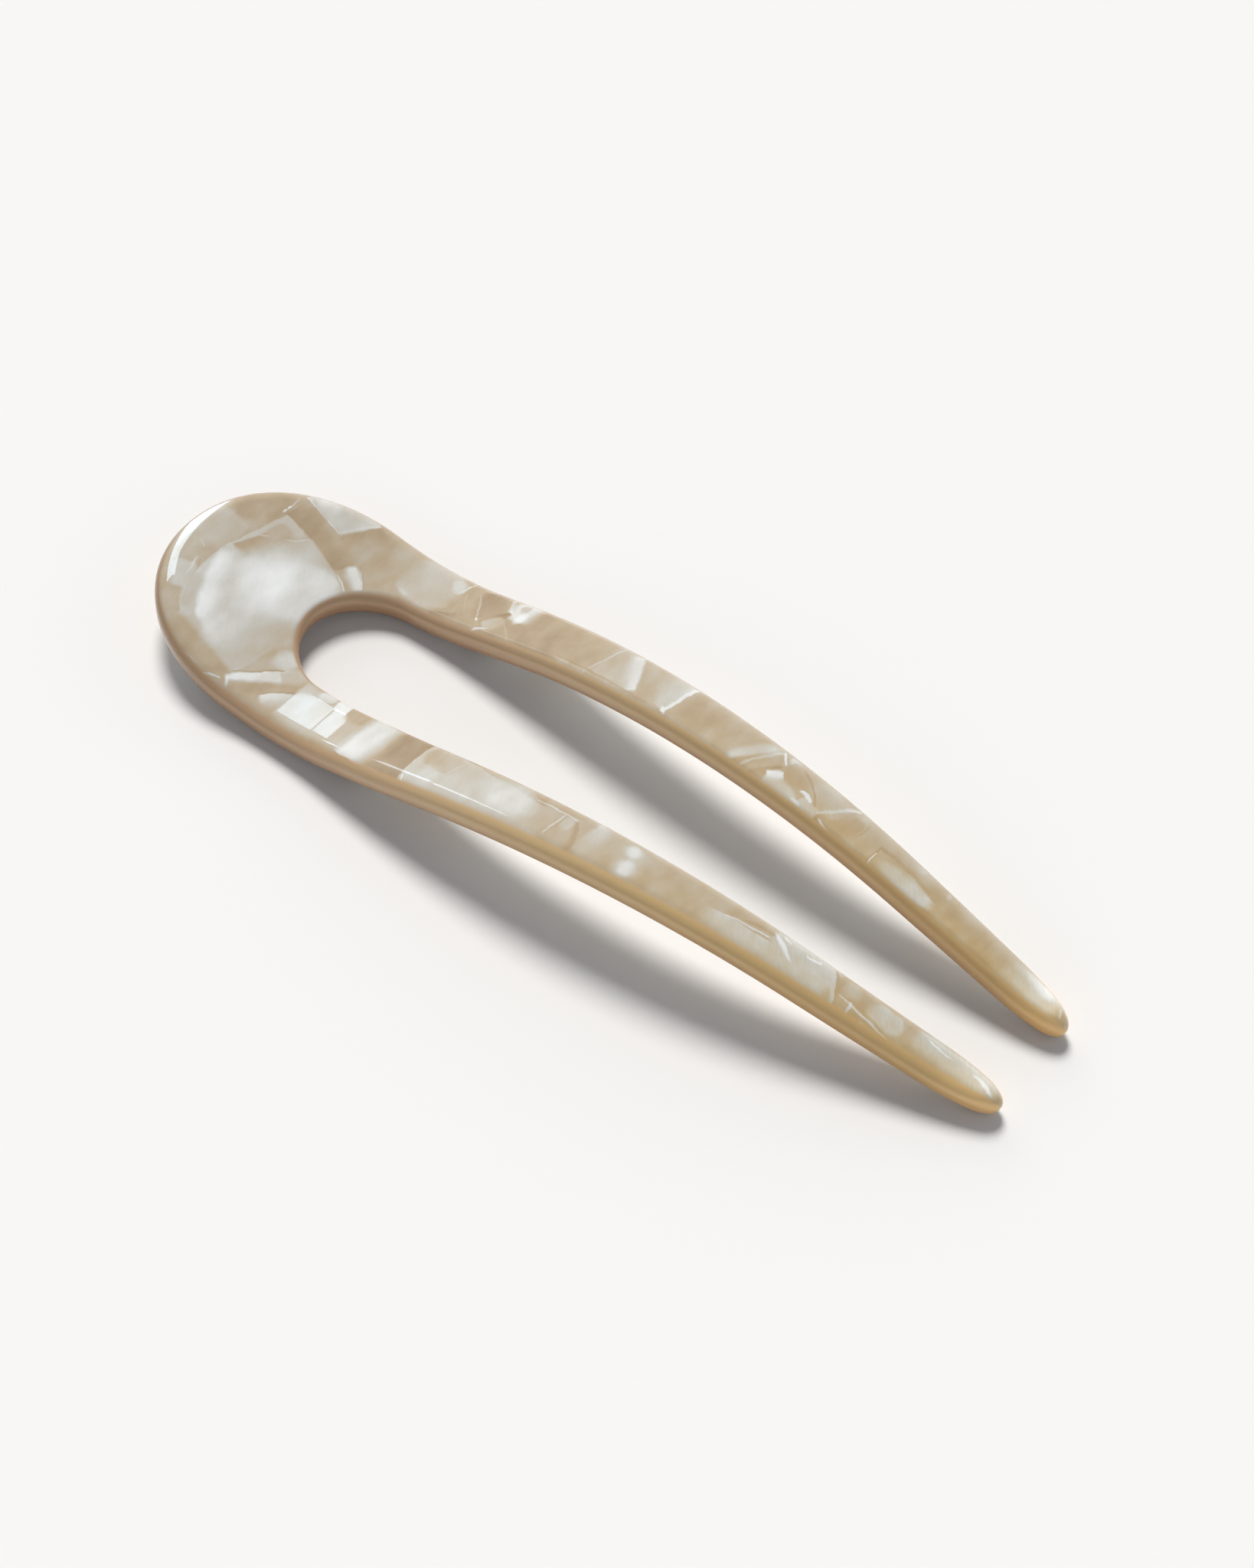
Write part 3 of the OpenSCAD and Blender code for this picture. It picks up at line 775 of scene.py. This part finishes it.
# Ways along and across the ripples, which are closest together along the first
RIPPLE_WAY = (2.6, 2.0, 0.0)
RIPPLE_RUN = (-0.3, 0.4, 0.0)

# How far the layers in a wall waver, and the heights in millimetres between which it lightens from
# its foot to its top; the darker foot is partly painted shade
LAYER_WAVER = 1.6
WALL_SPAN = (-1.7, 1.3)
# How far up a place looks, as a cosine, where the pearl starts to give way to the wall and where
# only the wall is left: at edges that face FRONT, and at those that face away from it
FRONT_WALL = (0.985, 0.82)
FAR_WALL = (0.86, 0.5)
# How dark the painted shade is on the walls that face away from the front, and how much paler the
# ends of the tips are painted, as painted light for the light that comes through them
FAR_WALL_SHADE = 0.85
TIP_GLOW = 1.3
# Depth of the silky relief in metres, how strongly it shows, and the grain's share in it
RELIEF = 0.0002
RELIEF_STRENGTH = 0.12
RELIEF_GRAIN = 0.15
WHITE = (1, 1, 1, 1)

FOLD_VECTORS = ("Place", "Along", "Across")
FOLD_NUMBERS = (
    "Tone", "Along start", "Across start", "Swing", "Left out", "Left in", "Right in",
    "Right out", "Ends in", "Cover", "Tone middle", "Tone change", "Tone lean",
)


def fold_group():
    """One fold of pearl laid over the tone below it"""
    group = bpy.data.node_groups.new("pearl_fold", "ShaderNodeTree")
    for names, kind in ((FOLD_VECTORS, "NodeSocketVector"), (FOLD_NUMBERS, "NodeSocketFloat")):
        for name in names:
            group.interface.new_socket(name, in_out="INPUT", socket_type=kind)
    group.interface.new_socket("Tone", in_out="OUTPUT", socket_type="NodeSocketFloat")
    bench = Bench(group)
    given = bench.node("NodeGroupInput").outputs
    along = bench.vector("DOT_PRODUCT", given["Place"], given["Along"])
    along = bench.math("ADD", along, given["Along start"])
    across = bench.vector("DOT_PRODUCT", given["Place"], given["Across"])
    across = bench.math("ADD", across, given["Across start"])
    out = bench.math("MULTIPLY", along, along)
    across = bench.math("MULTIPLY_ADD", out, given["Swing"], across)
    room = bench.math("MULTIPLY_ADD", given["Ends in"], NARROWING, -NARROWING)
    across = bench.math("DIVIDE", across, bench.math("MULTIPLY_ADD", out, room, 1.0))
    left = bench.ramp(across, given["Left out"], given["Left in"])
    right = bench.ramp(across, given["Right out"], given["Right in"])
    ends = bench.ramp(out, 1.0, given["Ends in"], 0.0, given["Cover"])
    cover = bench.math("MULTIPLY", bench.math("MULTIPLY", left, right), ends)
    tone = bench.math("MULTIPLY_ADD", along, given["Tone change"], given["Tone middle"])
    tone = bench.math("MULTIPLY_ADD", across, given["Tone lean"], tone)
    result = bench.node("NodeGroupOutput")
    bench.feed(result.inputs["Tone"], bench.blend(cover, given["Tone"], tone))
    return group


def is_glint(fold):
    return fold.left + fold.right < FINE and max(fold.left_fade, fold.right_fade) < FINE_FADE


def fades(fold):
    """How far a fold fades out on its left and on its right"""
    if is_glint(fold):
        return fold.left_fade * FINER, fold.right_fade * FINER
    return max(fold.left_fade * SOFTER, LEAST_FADE), max(fold.right_fade * SOFTER, LEAST_FADE)


def lean(fold):
    """How much a fold's tone rises for each millimetre to its left"""
    if is_glint(fold):
        return 0.0
    left_fade, right_fade = fades(fold)
    crisper_left = (right_fade - left_fade) / (right_fade + left_fade)
    bright = 1 if fold.tone + fold.tone_on > 2 * PLAIN else -1
    return bright * crisper_left * SHEEN * 2 / (fold.left + fold.right + left_fade + right_fade)


def folds_of(part):
    """The folds that reach a part, in the chart's order"""
    chosen = []
    for fold in FOLDS:
        start, finish = Vector((fold.x, fold.y)), Vector((fold.x_on, fold.y_on))
        across = Vector((fold.y - fold.y_on, fold.x_on - fold.x)).normalized()
        left_fade, right_fade = fades(fold)
        left = across * (fold.left + left_fade + max(fold.swing, 0))
        right = across * (fold.right + right_fade + max(-fold.swing, 0))
        reach = [start + left, start - right, finish + left, finish - right]
        x = [p.x for p in reach]
        y = [p.y * part.side for p in reach]
        if max(x) > part.start - WAVER and min(x) < part.end + WAVER and max(y) > -WAVER:
            chosen.append(fold)
    return chosen


def lay_folds(bench, group, place, tone, folds):
    """Lays a chart of folds over a tone, in its order"""
    for fold in folds:
        start, finish = Vector((fold.x, fold.y, 0)), Vector((fold.x_on, fold.y_on, 0))
        way = finish - start
        along = way * 2 / way.length_squared
        across = Vector((-way.y, way.x, 0)).normalized()
        middle = (start + finish) / 2 + across * fold.swing
        left_fade, right_fade = fades(fold)
        centre = (fold.left + left_fade - fold.right - right_fade) / 2
        node = bench.node("ShaderNodeGroup", node_tree=group)
        values = {
            "Place": place,
            "Tone": tone,
            "Along": along,
            "Along start": -middle.dot(along),
            "Across": across,
            "Across start": -middle.dot(across),
            "Swing": fold.swing,
            "Left out": fold.left + left_fade,
            "Left in": fold.left,
            "Right in": -fold.right,
            "Right out": -fold.right - right_fade,
            "Ends in": (1 - fold.ends) ** 2,
            "Cover": fold.cover * (GLINT if is_glint(fold) else BROAD),
            "Tone middle": (fold.tone + fold.tone_on) / 2 - centre * lean(fold),
            "Tone change": (fold.tone_on - fold.tone) / 2,
            "Tone lean": lean(fold),
        }
        for name, value in values.items():
            bench.feed(node.inputs[name], value)
        tone = node.outputs["Tone"]
    return tone


def new_material(name):
    material = bpy.data.materials.new(name)
    material.use_nodes = True
    material.node_tree.nodes.clear()
    bench = Bench(material.node_tree)
    shader = bench.node("ShaderNodeBsdfPrincipled")
    output = bench.node("ShaderNodeOutputMaterial")
    bench.feed(output.inputs["Surface"], shader.outputs["BSDF"])
    return material, bench, shader.inputs


def pearl_tone(bench, group, part, chart, x, way):
    """Tone of the pearl at each place of the faces, and the fine grain in it"""
    # Folds waver a little, so that none is drawn with a ruler
    waver = bench.noise(chart, scale=0.35, detail=4.0, roughness=0.6, colour=True)
    waver = bench.vector("SUBTRACT", waver, (0.5, 0.5, 0.5))
    waver = bench.vector("MULTIPLY", waver, (WAVER, WAVER, 0.0))
    wavered = bench.vector("ADD", chart, waver)
    tone = bench.math("MULTIPLY_ADD", bench.uneven(chart, scale=0.16), CLOUDS, GROUND)
    tone = lay_folds(bench, group, wavered, tone, folds_of(part))

    # Silk: soft streaks that run across the sheet's length, ripples, and a fine grain over them
    streaks = bench.vector("MULTIPLY", wavered, (1.0, 0.6, 0.0))
    streaks = bench.uneven(streaks, scale=0.35, detail=3.0)
    tone = bench.math("MULTIPLY_ADD", streaks, STREAKS, tone)
    # Painted shade: the necks are darkened where they lean towards the key light
    neck = bench.math("MULTIPLY", bench.ramp(x, *NECK_IN), bench.ramp(x, *NECK_OUT))
    tone = bench.math("MULTIPLY_ADD", neck, NECK_PAINTED_SHADE, tone)
    ripples = bench.node("ShaderNodeCombineXYZ")
    bench.feed(ripples.inputs[0], bench.vector("DOT_PRODUCT", wavered, RIPPLE_WAY))
    bench.feed(ripples.inputs[1], bench.vector("DOT_PRODUCT", wavered, RIPPLE_RUN))
    ripples = bench.uneven(ripples.outputs[0], scale=1.0)
    satin = bench.ramp(x, *SATIN_IN, RIPPLES, SATIN_RIPPLES)
    satin = bench.math("MULTIPLY", satin, bench.ramp(tone, 0.4, 0.55))
    tone = bench.math("MULTIPLY_ADD", ripples, satin, tone)
    grain = bench.noise(chart, scale=5.0, roughness=0.6)
    tone = bench.math("MULTIPLY_ADD", bench.math("SUBTRACT", grain, 0.5), GRAIN, tone)
    # Painted sheen: the faces are painted lighter towards the edges that face away from the front
    silvery = bench.math("MULTIPLY", bench.ramp(way, 0.1, -0.8), bench.ramp(x, *PAINTED_SHEEN_IN))
    return bench.math("MULTIPLY_ADD", silvery, PAINTED_SHEEN, tone), grain


def pearl_colour(bench, pin, tone):
    colours = bench.node("ShaderNodeValToRGB")
    bench.feed(colours.inputs["Fac"], tone)
    brown, tan, silver, pearl = TONES
    stops = colours.color_ramp.elements
    stops[0].position, stops[0].color = brown, (*pin.brown, 1)
    stops[1].position, stops[1].color = pearl, (*pin.pearl, 1)
    stops.new(tan).color = (*pin.tan, 1)
    stops.new(silver).color = (*pin.silver, 1)
    return colours.outputs["Color"]


def wall_colour(bench, pin, place, x, height, far):
    """The sheet's layers edge on, lighter under the upper edge and darker to the foot, partly
    painted shade, with painted shade on the walls that face away from the front
    """
    layers = bench.vector("MULTIPLY", place, (0.05, 0.05, 1.0))
    layers = bench.uneven(layers, scale=2.2, detail=3.0, roughness=0.6)
    rise = bench.math("MULTIPLY_ADD", layers, LAYER_WAVER, height)
    wall = bench.mix(bench.ramp(rise, *WALL_SPAN), (*pin.wall_foot, 1), (*pin.wall_top, 1))
    rosy = bench.mix(bench.ramp(x, *ROSE_OUT), WHITE, (*pin.rose, 1))
    wall = bench.mix(1.0, wall, rosy, "MULTIPLY")
    # Painted shade: the walls that face away from the front darken to brown, except at the ends of
    # the tips
    dark = bench.math("MULTIPLY", far, bench.ramp(x, *FAR_SHADE_OUT, 0.0, FAR_WALL_SHADE))
    return bench.mix(dark, wall, (*pin.brown, 1))


def pearl_acetate(pin, part, group):
    """Polished acetate with folded pearl inside its faces and tan layers in its walls"""
    material, bench, shader = new_material(part.name)
    place = bench.node("ShaderNodeAttribute", attribute_name="sheet_place").outputs["Vector"]
    face = bench.node("ShaderNodeAttribute", attribute_name="sheet_face").outputs["Fac"]
    way = bench.node("ShaderNodeAttribute", attribute_name="sheet_way").outputs["Fac"]

    # The underside shows the folds of the other prong
    split = bench.node("ShaderNodeSeparateXYZ")
    bench.feed(split.inputs[0], place)
    x, y, height = split.outputs
    under = bench.math("LESS_THAN", height, 0.0)
    side = bench.math("MULTIPLY_ADD", under, -2.0, 1.0)
    chart = bench.node("ShaderNodeCombineXYZ")
    bench.feed(chart.inputs[0], x)
    bench.feed(chart.inputs[1], bench.math("MULTIPLY", y, side))
    chart = chart.outputs[0]

    tone, grain = pearl_tone(bench, group, part, chart, x, way)
    far = bench.ramp(way, 0.35, -0.35)
    starts, ends = (bench.blend(far, *pair) for pair in zip(FRONT_WALL, FAR_WALL))
    wallness = bench.ramp(bench.math("ABSOLUTE", face), starts, ends)
    wall = wall_colour(bench, pin, place, x, height, far)
    mixed = bench.mix(wallness, pearl_colour(bench, pin, tone), wall)

    # The acetate turns golden towards the tips, where little pearl covers it
    bare = bench.math("MULTIPLY", bench.ramp(tone, 0.85, 0.38), bench.ramp(x, *GOLD_IN))
    bare = bench.math("MULTIPLY", bare, bench.ramp(way, -0.7, 0.7, 0.3, 1.0))
    walls = bench.math("MULTIPLY", wallness, bench.ramp(x, *GOLD_WALLS_IN))
    tint = bench.mix(bench.math("MAXIMUM", bare, walls), WHITE, (*pin.gold, 1))
    mixed = bench.mix(1.0, mixed, tint, "MULTIPLY")
    # Painted light: the thin ends of the tips are painted paler, for the light that comes through
    # them
    mixed = bench.mix(1.0, mixed, bench.ramp(x, *TIP_GLOW_IN, 1.0, TIP_GLOW), "MULTIPLY")

    bump = bench.node("ShaderNodeBump")
    bump.inputs["Strength"].default_value = RELIEF_STRENGTH
    bump.inputs["Distance"].default_value = RELIEF
    relief = bench.blend(RELIEF_GRAIN, bench.noise(chart, scale=0.5), grain)
    bench.feed(bump.inputs["Height"], relief)

    bench.feed(shader["Base Color"], mixed)
    bench.feed(shader["Roughness"], bench.ramp(tone, 0.3, 0.9, 0.5, 0.34))
    bench.feed(shader["Normal"], bump.outputs["Normal"])
    shader["Specular IOR Level"].default_value = 0.15
    shader["Coat Weight"].default_value = 1.0
    shader["Coat Roughness"].default_value = pin.gloss
    shader["Coat IOR"].default_value = 1.5
    return material


class HAIRPIN_OT_pin(bpy.types.Operator):
    """Makes the hair pin in place of its plain solid"""

    bl_idname = "hairpin.pin"
    bl_label = "Hair pin"

    def execute(self, context):
        pin = sizes(context)
        piece = bpy.data.objects.new("hair_pin", pin_mesh(pin))
        context.scene.collection.objects.link(piece)
        group = fold_group()
        for part in PARTS:
            piece.data.materials.append(pearl_acetate(pin, part, group))
        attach(piece, "root")
        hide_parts("pin")
        return {"FINISHED"}


def add_floor(context, colour):
    build = bmesh.new()
    bmesh.ops.create_circle(build, cap_ends=True, segments=FLOOR_SIDES, radius=FLOOR_RADIUS)
    mesh = bpy.data.meshes.new("floor")
    build.to_mesh(mesh)
    build.free()
    floor = bpy.data.objects.new("floor", mesh)
    context.scene.collection.objects.link(floor)
    material, bench, shader = new_material("floor_paper")
    grain = bench.noise(bench.node("ShaderNodeTexCoord").outputs["Object"], scale=900.0)
    bench.feed(shader["Base Color"], (*colour, 1))
    bench.feed(shader["Roughness"], bench.ramp(grain, 0.2, 0.8, to_low=0.85, to_high=0.95))
    shader["Specular IOR Level"].default_value = 0.0
    mesh.materials.append(material)


def add_light(context, name, kind, place, aim, strength, **settings):
    light = bpy.data.lights.new(name, kind)
    light.energy = strength
    for item, value in settings.items():
        setattr(light, item, value)
    lamp = bpy.data.objects.new(name, light)
    lamp.location = place
    lamp.rotation_euler = (Vector(aim) - Vector(place)).to_track_quat("-Z", "Y").to_euler()
    context.scene.collection.objects.link(lamp)
    return lamp


def mirror_way(mesh, lamp, eye):
    """The point of the upper face that mirrors a lamp, and the way from there to the lamp"""
    place = np.empty(3 * len(mesh.vertices))
    mesh.attributes["sheet_place"].data.foreach_get("vector", place)
    place = place.reshape(-1, 3)
    away = np.hypot(place[:, 0] - lamp.x, place[:, 1] - lamp.y)
    vertex = mesh.vertices[int(np.argmin(np.where(place[:, 2] < 0, np.inf, away)))]
    seen = (eye - vertex.co).normalized()
    return vertex.co, 2 * seen.dot(vertex.normal) * vertex.normal - seen


def add_lamp(context, mesh, lamp, share):
    """A lamp that only shows mirrored in the polish"""
    point, way = mirror_way(mesh, lamp, context.scene.camera.location)
    light = add_light(
        context, lamp.name, "AREA", point + way * lamp.distance, point,
        lamp.brightness * share * math.pi * lamp.width * lamp.height,
        shape="RECTANGLE", size=lamp.width, size_y=lamp.height, color=DAYLIGHT,
    )
    light.rotation_euler.rotate_axis("Z", math.radians(lamp.roll))
    light.visible_diffuse = False
    light.visible_camera = False


def add_room(scene, room):
    """Even light, mostly from low all round, and a plain grey room for the polish to mirror"""
    world = scene.world = bpy.data.worlds.new("room")
    world.use_nodes = True
    bench = Bench(world.node_tree)
    background = world.node_tree.nodes["Background"]
    split = bench.node("ShaderNodeSeparateXYZ")
    bench.feed(split.inputs[0], bench.node("ShaderNodeTexCoord").outputs["Generated"])
    fill = bench.ramp(split.outputs[2], *FILL_SPAN, room.low_fill, room.high_fill)
    mirrored = bench.node("ShaderNodeLightPath").outputs["Is Glossy Ray"]
    bench.feed(background.inputs["Color"], (*ROOM, 1))
    bench.feed(background.inputs["Strength"], bench.blend(mirrored, fill, room.mirrored_fill))


def add_camera(context, room):
    aim = Vector(CAMERA_AIM)
    back = Vector(
        (
            math.sin(room.turn) * math.cos(room.tilt),
            -math.cos(room.turn) * math.cos(room.tilt),
            math.sin(room.tilt),
        )
    )
    data = bpy.data.cameras.new("camera")
    data.lens = room.lens
    data.clip_start, data.clip_end = CAMERA_CLIP
    camera = bpy.data.objects.new("camera", data)
    camera.location = aim + back * room.distance
    camera.rotation_euler = (-back).to_track_quat("-Z", "Y").to_euler()
    context.scene.collection.objects.link(camera)
    context.scene.camera = camera


class HAIRPIN_OT_studio(bpy.types.Operator):
    """Makes the pale floor, the soft lights and the camera"""

    bl_idname = "hairpin.studio"
    bl_label = "Studio"

    def execute(self, context):
        room = studio(context)
        scene = context.scene
        scene.view_settings.view_transform = "Standard"
        add_floor(context, room.paper)
        for name, way, strength, spread in (
            ("key", KEY_WAY, room.key, room.key_spread),
            ("side", SIDE_WAY, room.side, SIDE_SPREAD),
        ):
            sun = add_light(context, name, "SUN", way, (0, 0, 0), strength, angle=spread)
            sun.visible_glossy = False
        add_camera(context, room)
        pin = scene.objects["hair_pin"].data
        for lamp in LAMPS:
            add_lamp(context, pin, lamp, room.window)
        add_room(scene, room)
        return {"FINISHED"}


class HAIRPIN_PT_panel(bpy.types.Panel):
    """Shows the sizes of the hair pin and of its studio, each with the button that makes it"""

    bl_idname = "HAIRPIN_PT_panel"
    bl_label = "Hair pin"
    bl_space_type = "VIEW_3D"
    bl_region_type = "UI"
    bl_category = "Hair pin"

    def draw(self, context):
        for group, operator in (
            (sizes(context), "hairpin.pin"),
            (studio(context), "hairpin.studio"),
        ):
            box = self.layout.box()
            for name in group.__annotations__:
                box.prop(group, name)
            box.operator(operator)


CLASSES = (PinSizes, PinStudio, HAIRPIN_OT_pin, HAIRPIN_OT_studio, HAIRPIN_PT_panel)


def register():
    for item in CLASSES:
        bpy.utils.register_class(item)
    bpy.types.Scene.hair_pin = PointerProperty(type=PinSizes)
    bpy.types.Scene.hair_pin_studio = PointerProperty(type=PinStudio)


def unregister():
    del bpy.types.Scene.hair_pin_studio
    del bpy.types.Scene.hair_pin
    for item in reversed(CLASSES):
        bpy.utils.unregister_class(item)


def main():
    register()
    bpy.ops.hairpin.pin()
    bpy.ops.hairpin.studio()


if __name__ == "__main__":
    main()
